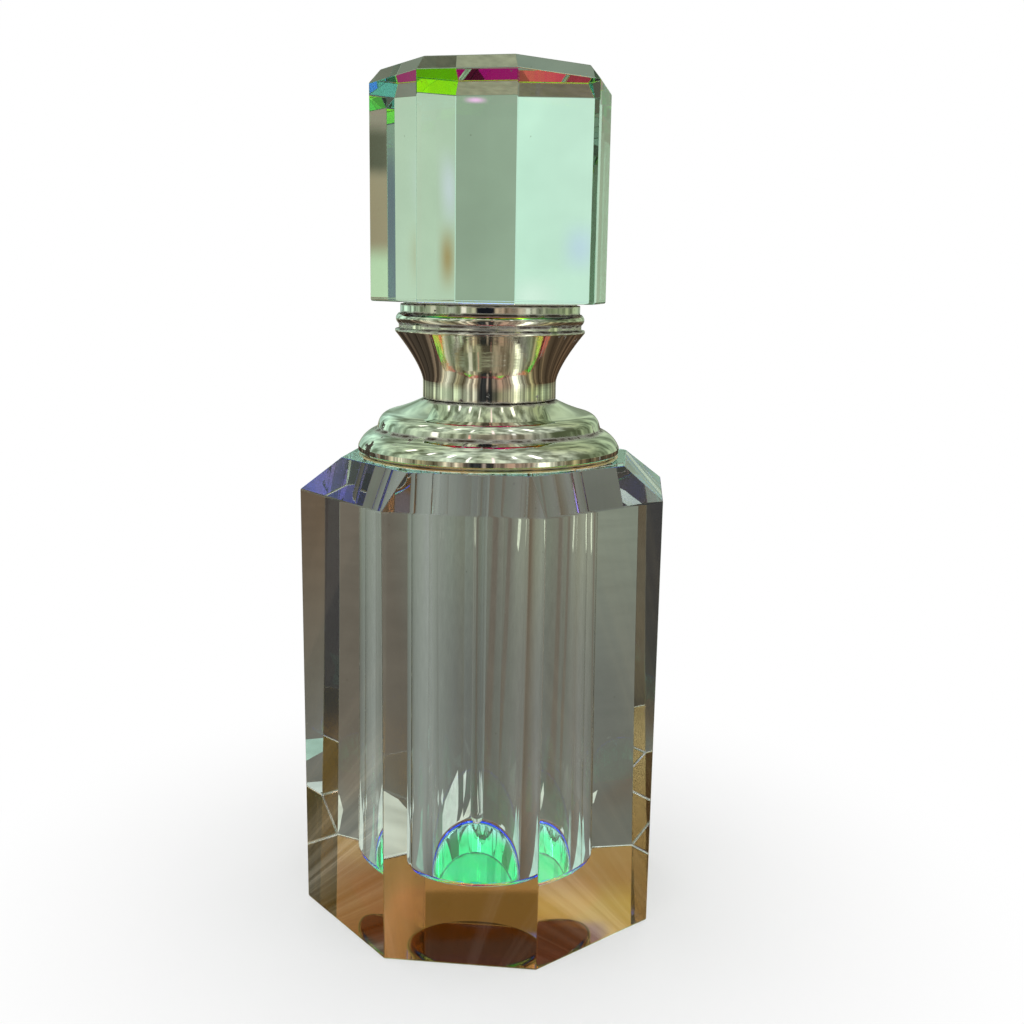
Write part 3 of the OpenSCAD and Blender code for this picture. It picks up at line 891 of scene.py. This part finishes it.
# Colours of the table by azimuth in degrees, close by the bottle and far out
TABLE_NEAR = (
    (-180, 0.055, 0.05, 0.053), (-160, 0.04, 0.045, 0.05), (-140, 0.09, 0.075, 0.06),
    (-112, 0.2, 0.22, 0.2), (-100, 0.31, 0.345, 0.31), (-70, 0.27, 0.3, 0.27), (-45, 0.225, 0.25, 0.22),
    (-22, 0.176, 0.19, 0.17), (0, 0.17, 0.175, 0.145), (20, 0.175, 0.185, 0.155),
    (45, 0.22, 0.228, 0.2), (65, 0.23, 0.235, 0.21), (85, 0.19, 0.18, 0.145),
    (105, 0.165, 0.135, 0.095), (135, 0.09, 0.075, 0.06), (160, 0.05, 0.05, 0.05))
TABLE_FAR = (
    (-180, 0.05, 0.055, 0.065), (-168, 0.06, 0.055, 0.055), (-150, 0.1, 0.08, 0.065),
    (-113, 0.14, 0.12, 0.1), (-107, 0.33, 0.36, 0.33), (-100, 0.35, 0.385, 0.35),
    (-75, 0.31, 0.35, 0.3), (-50, 0.275, 0.31, 0.265), (-30, 0.25, 0.29, 0.24),
    (-8, 0.215, 0.24, 0.185), (15, 0.2, 0.2, 0.16), (30, 0.28, 0.305, 0.24), (52, 0.31, 0.335, 0.26),
    (75, 0.26, 0.27, 0.2), (92, 0.17, 0.13, 0.085), (107, 0.16, 0.115, 0.075), (135, 0.09, 0.065, 0.05))
# The near colours give way to the far ones between these distances. The grain has this share of them
TABLE_NEAR_END, TABLE_FAR_START = 60 * MM, 240 * MM
TABLE_GRAIN_SHARE = 0.25
# A brown streak runs outward over the table from this spot, in this direction from straight behind
STREAK_SPOT, STREAK_WAY = (-2 * MM, 25 * MM), math.radians(13)
# It fades in between these distances behind the axis, and its half width is this length and this share of
# the distance from the axis
STREAK_START, STREAK_FULL = 28 * MM, 42 * MM
STREAK_HALF, STREAK_WIDENS_SHARE = 3 * MM, 0.05
STREAK_BROWN = (0.172, 0.153, 0.12)
# Bright patches that the bottle's own light throws on the table: outlines in mm, and colours
PATCHES = {
    "glint_left_behind": (((-21, 13), (-26.5, 18), (-26.5, 24), (-21.5, 33.5), (-16, 41.5), (-14, 35),
        (-12.8, 28), (-13, 20), (-17, 15)), (0.82, 0.95, 0.84)),
    "glint_behind": (((-15.5, 15.5), (-12, 22), (-9.2, 29), (-8, 33), (-6.4, 38.5), (-4.9, 34.5),
        (-5.4, 30), (-8, 24), (-11.5, 18)), (0.85, 0.95, 0.8)),
    "glint_left": (((-29, 20), (-30, 24), (-33, 25), (-33, 20)), (0.75, 0.9, 0.8)),
    "glint_right": (((23, -3), (27, 5), (30.5, 12), (33, 20), (29, 19), (25, 17), (21, 15.5)),
        (0.62, 0.95, 0.8)),
    "glint_far_left": (((-24, -6), (-33, -3), (-43, -2), (-41, 1), (-32, 1), (-24, 3)),
        (0.4, 0.62, 0.5)),
    "glint_behind_right": (((10.5, 19.5), (10, 22.5), (12, 24), (14.5, 22), (13.5, 18.5)),
        (0.85, 1, 0.92)),
    "dark_behind": (((78, 423), (197, 382), (247, 480), (97, 531)), (0.12, 0.115, 0.07)),
    "pale_behind": (((-88, 350), (14, 360), (25, 540), (-140, 521)), (0.38, 0.37, 0.25)),
    "brown_behind": (((-116, 260), (-175, 225), (-215, 276), (-142, 320)), (0.19, 0.15, 0.13)),
    "glint_far_right": (((112, 176), (104, 192), (140, 232), (166, 226), (160, 200), (136, 184)),
        (0.95, 1.05, 0.8)),
    "pale_in_front": (((206, -295), (105, -344), (132, -430), (258, -369)), (0.8, 0.8, 0.8)),
    "glint_front_left": (((-13, -19), (-15, -22), (-18, -23), (-18, -20), (-15, -17.5)),
        (0.85, 1, 0.9)),
}
# The card lies this far under the base, and the patches half as far. It has a hole under the bottle
CARD_DROP = 0.02 * MM
TABLE_HOLE, TABLE_RADIUS = 12 * MM, 2.4


def by_azimuth(spot_x, spot_y, tints):
    """A colour for the direction of a spot from the axis. The stops go all round, and the first one is
    the last one too."""
    around = spot_x.math("ARCTAN2", spot_x, spot_y) / TURN + 0.5
    stops = [*tints, (180, *tints[0][1:])]
    return around.ramp(*[(azimuth / 360 + 0.5, *tint) for azimuth, *tint in stops])


def coloured_ring(name, radius, near, far, near_end, far_start):
    """A table card, its material, and its colour by azimuth and by distance from the bottle."""
    ring = ring_mesh(name, TABLE_HOLE, radius, -CARD_DROP)
    shader = new_material(name)
    x, y, out = shader.axis("X"), shader.axis("Y"), shader.length(shader.spot())
    colour = shader.mix(out.step(near_end, far_start), by_azimuth(x, y, near), by_azimuth(x, y, far))
    return ring, shader, colour


def light_up(card, shader, colour, through_glass):
    """Makes a card glow in that colour."""
    dress(card, shader.finish(shader.glow(colour)))
    seen_only(card, through_glass)


def table_card():
    """The table top that glass sees, with a brown streak and the bottle's bright patches on it."""
    ring, shader, colour = coloured_ring(
        "table_card", TABLE_RADIUS, TABLE_NEAR, TABLE_FAR, TABLE_NEAR_END, TABLE_FAR_START)
    x, y, out = shader.axis("X"), shader.axis("Y"), shader.length(shader.spot())
    aside = (x - STREAK_SPOT[0]) * math.cos(STREAK_WAY) - (y - STREAK_SPOT[1]) * math.sin(STREAK_WAY)
    away = (aside / (out * STREAK_WIDENS_SHARE + STREAK_HALF)).size()
    streak = (1 - away.step(0.5, 1.5)) * y.step(STREAK_START, STREAK_FULL)
    colour = shader.mix(streak, colour, STREAK_BROWN)
    grain = shader.noise(60, 4, 0.6).ramp((0.3, 0.7, 0.7, 0.7), (0.7, 1.3, 1.3, 1.3))
    colour = shader.mix(TABLE_GRAIN_SHARE, colour, shader.mix(1, colour, grain, "MULTIPLY"))
    light_up(ring, shader, colour, through_glass=True)
    for name, (outline, tint) in PATCHES.items():
        points = np.column_stack([np.array(outline) * MM, np.full(len(outline), -CARD_DROP / 2)])
        patch = finished_mesh(name, points, [list(range(len(points)))])
        shader = new_material(name)
        cloud = shader.noise(150, 2).ramp((0.3, *[0.7 * share for share in tint]), (0.65, *tint))
        light_up(patch, shader, cloud, through_glass=True)


# Colours of the room that the metal mirrors, by azimuth in degrees: the table, low on the walls, high on
# them and overhead
METAL_TABLE = (
    (-180, 0.03, 0.032, 0.035), (-172, 0.03, 0.032, 0.035), (-164, 0.3, 0.24, 0.18),
    (-158, 0.75, 0.68, 0.55), (-150, 0.75, 0.7, 0.55), (-143, 0.26, 0.23, 0.15),
    (-128, 0.2, 0.18, 0.11), (-118, 0.45, 0.45, 0.33), (-108, 0.8, 0.8, 0.66), (-98, 0.45, 0.42, 0.32),
    (-88, 0.13, 0.1, 0.075), (-60, 0.07, 0.055, 0.042), (-20, 0.06, 0.043, 0.03),
    (20, 0.075, 0.048, 0.03), (60, 0.1, 0.07, 0.045), (88, 0.13, 0.1, 0.06), (93, 0.4, 0.36, 0.2),
    (104, 0.14, 0.12, 0.08), (114, 0.5, 0.5, 0.4), (121, 0.95, 0.98, 0.85), (128, 0.95, 0.98, 0.85),
    (136, 0.3, 0.24, 0.19), (155, 0.24, 0.16, 0.13), (166, 0.2, 0.16, 0.13), (172, 0.03, 0.032, 0.035),
    (174.5, 0.04, 0.035, 0.035), (176, 0.62, 0.5, 0.44), (177.5, 0.62, 0.5, 0.44),
    (178.7, 0.03, 0.032, 0.035))
METAL_FAR = (
    (-180, 0.025, 0.028, 0.03), (-170, 0.03, 0.03, 0.03), (-162, 0.6, 0.6, 0.5), (-130, 0.5, 0.6, 0.42),
    (-80, 0.45, 0.53, 0.4), (-20, 0.2, 0.22, 0.15), (30, 0.2, 0.2, 0.14), (60, 0.42, 0.52, 0.35),
    (95, 0.32, 0.37, 0.2), (125, 0.6, 0.66, 0.52), (140, 0.4, 0.4, 0.3), (154, 0.13, 0.13, 0.09),
    (172, 0.025, 0.028, 0.03))
ROOM_LOW = (
    (-180, 0.36, 0.32, 0.245), (-150, 0.44, 0.5, 0.385), (-120, 0.57, 0.67, 0.54),
    (-90, 0.39, 0.5, 0.375), (-60, 0.48, 0.69, 0.56), (-30, 0.52, 0.76, 0.635), (0, 0.36, 0.445, 0.32),
    (30, 0.31, 0.4, 0.27), (60, 0.26, 0.32, 0.195), (90, 0.163, 0.2, 0.12), (120, 0.36, 0.375, 0.31),
    (150, 0.375, 0.28, 0.22))
ROOM_HIGH = (
    (-180, 0.48, 0.545, 0.42), (-150, 0.6, 0.7, 0.6), (-120, 0.52, 0.62, 0.52),
    (-90, 0.42, 0.52, 0.385), (-60, 0.38, 0.475, 0.36), (0, 0.3, 0.365, 0.255), (30, 0.28, 0.34, 0.22),
    (60, 0.335, 0.385, 0.25), (90, 0.5, 0.56, 0.48), (120, 0.6, 0.66, 0.56), (150, 0.58, 0.63, 0.54))
OVERHEAD = (0.5, 0.57, 0.47)
# Between these heights, as shares of the room's radius, the low colours give way to the high ones, and
# those to the one overhead. Between these distances the table's near colours give way to its far ones
LOW_END_SHARE, HIGH_START_SHARE = 0.3, 0.65
HIGH_END_SHARE, OVERHEAD_START_SHARE = 0.9, 0.97
METAL_TABLE_END, METAL_FAR_START = 350 * MM, 900 * MM
# The room reaches all round, and from just under the table's level to overhead, in degrees
ROOM_RADIUS = 2.5
ROOM_MIDDLE, ROOM_SPAN = 43, 94
# The room is uneven in upright shapes, as furniture and door frames are
UPRIGHT = (1, 1, 0.25)


def metal_room():
    """The room and the table that the metal mirrors, a little uneven as a real room is."""
    dome = sphere_patch("metal_room", 0, ROOM_MIDDLE, 360, ROOM_SPAN, ROOM_RADIUS)
    shader = new_material("metal_room")
    x, y = shader.axis("X"), shader.axis("Y")
    height = (shader.axis("Z") - CARD_CENTRE[2]) / ROOM_RADIUS
    low, high = by_azimuth(x, y, ROOM_LOW), by_azimuth(x, y, ROOM_HIGH)
    walls = shader.mix(height.step(LOW_END_SHARE, HIGH_START_SHARE), low, high)
    colour = shader.mix(height.step(HIGH_END_SHARE, OVERHEAD_START_SHARE), walls, OVERHEAD)
    cloud = shader.noise(2.2, 3, 0.55, shader.place(UPRIGHT))
    cloud = cloud.ramp((0.36, 0.4, 0.4, 0.35), (0.5, 0.95, 0.95, 0.95), (0.62, 1.65, 1.63, 1.58))
    light_up(dome, shader, shader.mix(1, colour, cloud, "MULTIPLY"), through_glass=False)
    ring, shader, colour = coloured_ring(
        "metal_table", ROOM_RADIUS, METAL_TABLE, METAL_FAR, METAL_TABLE_END, METAL_FAR_START)
    # Streaks that run outward: the noise is read on a circle round the bottle
    circle = shader.add("ShaderNodeVectorMath", [shader.spot()], operation="NORMALIZE")
    cloud = shader.noise(7, 4, 0.7, circle)
    cloud = cloud.ramp((0.36, 0.3, 0.27, 0.25), (0.5, 0.9, 0.9, 0.9), (0.62, 2.4, 2.3, 2.2))
    light_up(ring, shader, shader.mix(1, colour, cloud, "MULTIPLY"), through_glass=False)


# The floor: its radius, how far it lies under the base, and its paper white
FLOOR_RADIUS, FLOOR_DROP = 6, 0.05 * MM
PAPER_WHITE = (0.9, 0.9, 0.9)
# Plain white has this share of it close by, and all of it from the end of the fade on
PLAIN_SHARE = 0.35
FADE_START, FADE_END = 24 * MM, 75 * MM


def white_floor():
    """The white floor: it takes the bottle's shadow close by and fades to plain white further out."""
    ring = ring_mesh("floor", 0.1 * MM, FLOOR_RADIUS, -FLOOR_DROP)
    shader = new_material("floor")
    far = shader.length(shader.spot())
    paper = shader.add("ShaderNodeBsdfDiffuse", {"Color": PAPER_WHITE})
    white = shader.glow((1, 1, 1))
    paths = [shader.add("ShaderNodeLightPath", output=kind)
             for kind in ("Is Camera Ray", "Is Glossy Ray", "Is Transmission Ray")]
    seen = paths[0].most(paths[1]).most(paths[2])
    plain_white = seen * (PLAIN_SHARE + (1 - PLAIN_SHARE) * far.step(FADE_START, FADE_END))
    dress(ring, shader.finish(shader.add("ShaderNodeMixShader", [plain_white, paper, white])))


# The cards that glass sees, and below them those that metal sees: azimuth, elevation, width and height in
# degrees, colour, strength, the share of the card over which each edge fades, and distance in metres
LAMP_WHITE, SAGE = (1, 1, 0.97), (0.5, 0.6, 0.47)
GLASS_CARDS = {
    "ceiling": (0, 62, 360, 56, SAGE, 1, 0.01, 2.2),
    "front_wall": (180, 20, 170, 50, (0.36, 0.41, 0.31), 1, 0.08, 2.1),
    "back_wall": (-18, 11, 66, 28, (0.67, 0.9, 0.76), 1, 0.04, 2.15),
    "back_wall_right": (32, 11, 40, 28, (0.57, 0.69, 0.53), 1, 0.04, 2.15),
    "back_wall_left": (-70, 11, 44, 28, (0.36, 0.44, 0.31), 1, 0.04, 2.16),
    "side_right": (105, 8, 50, 26, (0.36, 0.29, 0.22), 1, 0.15, 1.9),
    "post": (-8, 3, 15, 26, (0.34, 0.42, 0.32), 1, 0.1, 2),
    "beam": (-8, 29.9, 19, 4.4, (0.5, 0.52, 0.4), 1, 0.06, 2),
    "arc_light": (-8, 31.3, 21, 3.2, (0.45, 0.8, 6.5), 1, 0.1, 1.95),
    "arc_light_left": (21, 31.2, 14, 3, (0.42, 0.7, 4), 1, 0.15, 1.95),
    "arc_light_right": (-35, 30.6, 9, 3.2, (0.66, 0.72, 2.4), 1, 0.15, 1.95),
    "gold_band": (-31, 29.5, 16, 5, (1.28, 1.56, 1.2), 1, 0.3, 2),
    "pale_band": (17, 28.2, 18, 5, (0.78, 0.68, 0.74), 1, 0.2, 2),
    "window": (36, 32, 18, 12, (1.5, 1.35, 1.6), 1, 0.2, 2),
    "lamp_ring": (0, 54, 360, 9, (1, 1, 1), 1.6, 0.1, 2),
    "lamp_bar": (-25, 53, 6, 10, (1.7, 1, 0.7), 14, 0.3, 1.95),
    "lamp_left": (-90, 52, 22, 14, LAMP_WHITE, 3, 0.2, 2),
    "lamp_near_left": (-140, 50, 20, 16, LAMP_WHITE, 3, 0.2, 2),
    "lamp_right": (120, 47, 12, 16, LAMP_WHITE, 3.5, 0.2, 2),
    "front_shade": (178, 14, 50, 44, (0.16, 0.11, 0.09), 1, 0.3, 1.8),
    "shade_right": (120, 27, 60, 14, (0.12, 0.13, 0.08), 1, 0.3, 1.8),
    "blot_orange": (18, 2.4, 1.9, 4.4, (0.44, 0.33, 0.15), 1, 0.5, 1.8),
    "blot_lavender": (18.3, 5.8, 2.1, 5, (0.66, 0.71, 0.74), 1, 0.5, 1.85),
    "glint_rose": (-8, 10.2, 1.5, 0.4, (1, 0.55, 0.9), 1, 0.5, 1.75),
    "lime_light": (-86, 23.5, 66, 9, (1.3, 0.95, 0.15), 1, 0.15, 1.9),
    "blot_blue": (-26.1, 3, 2.5, 3.4, (0.6, 0.75, 0.85), 1, 0.5, 1.85),
    "blot_pale": (-28.5, 0.4, 4, 3, (0.78, 0.92, 0.82), 1, 0.5, 1.85),
    "navy_strip": (-159, 3, 4, 14, (0.16, 0.17, 0.24), 1, 0.3, 1.75),
    "tan_strip": (112.5, 4, 5, 9, (0.42, 0.3, 0.19), 1, 0.3, 1.75),
    "dark_strip": (113.5, 7.8, 8, 3, (0.09, 0.07, 0.04), 1, 0.3, 1.7),
    "sage_strip": (112.5, 1.2, 5, 4.4, (0.62, 0.75, 0.5), 1, 0.3, 1.7),
}
METAL_CARDS = {
    "metal_lamp_left": (-142, 54, 7, 15, LAMP_WHITE, 2.6, 0.3, 2),
    "metal_lamp_mid_left": (-117, 52, 6, 12, LAMP_WHITE, 2.4, 0.3, 2),
    "metal_lamp_far_left": (-90, 47, 8, 12, LAMP_WHITE, 2.4, 0.3, 2),
    "metal_lamp_low_left": (-129, 22, 12, 10, LAMP_WHITE, 1.6, 0.3, 2),
    "metal_lamp_right": (118, 51, 9, 22, LAMP_WHITE, 2.8, 0.3, 2),
    "metal_lamp_mid_right": (142, 55, 6, 12, LAMP_WHITE, 2, 0.3, 2),
    "metal_lamp_rose": (168, 44, 4, 34, (1, 0.8, 0.82), 1.5, 0.3, 2),
    "metal_lamp_near": (-166, 48, 4, 24, LAMP_WHITE, 1.6, 0.3, 2),
    "metal_lamp_low": (146, 30, 6, 16, LAMP_WHITE, 1.2, 0.3, 2),
    "metal_front_shade": (178, 12, 24, 38, (0.12, 0.1, 0.075), 1, 0.3, 1.8),
    "metal_low_shade": (179, -1, 27, 9, (0.01, 0.011, 0.017), 1, 0.15, 1.7),
    "metal_glint_rose": (-167, 21, 3, 9, (1, 0.45, 0.4), 1.2, 0.3, 1.75),
    "metal_glint_pink": (171, 6, 3, 8, (0.9, 0.45, 0.4), 1, 0.3, 1.75),
    "metal_window_left": (-154, 6, 9, 34, (1, 0.98, 0.9), 1, 0.3, 1.85),
    "metal_window_far_left": (-111, 2, 12, 20, (0.7, 0.74, 0.62), 1, 0.3, 1.85),
    "metal_window_right": (125, 2, 9, 20, (0.8, 0.84, 0.7), 1, 0.3, 1.85),
    "metal_shade_right": (92, 20, 40, 14, (0.09, 0.11, 0.06), 1, 0.3, 1.8),
}


def studio():
    """White all round, a white floor, and the cards that the crystal and the metal mirror."""
    world = bpy.data.worlds.new("studio")
    bpy.context.scene.world = world
    shader = Shader(world)
    shader.finish(shader.add("ShaderNodeBackground", {"Color": (1, 1, 1), "Strength": 1}))
    white_floor()
    table_card()
    metal_room()
    cards(METAL_CARDS, through_glass=False)
    cards(GLASS_CARDS, through_glass=True)


camera()
studio()
scene = bpy.context.scene
scene.view_settings.view_transform = "Standard"
scene.cycles.max_bounces = 32
scene.cycles.transmission_bounces = 32
scene.cycles.glossy_bounces = 16
scene.cycles.transparent_max_bounces = 16
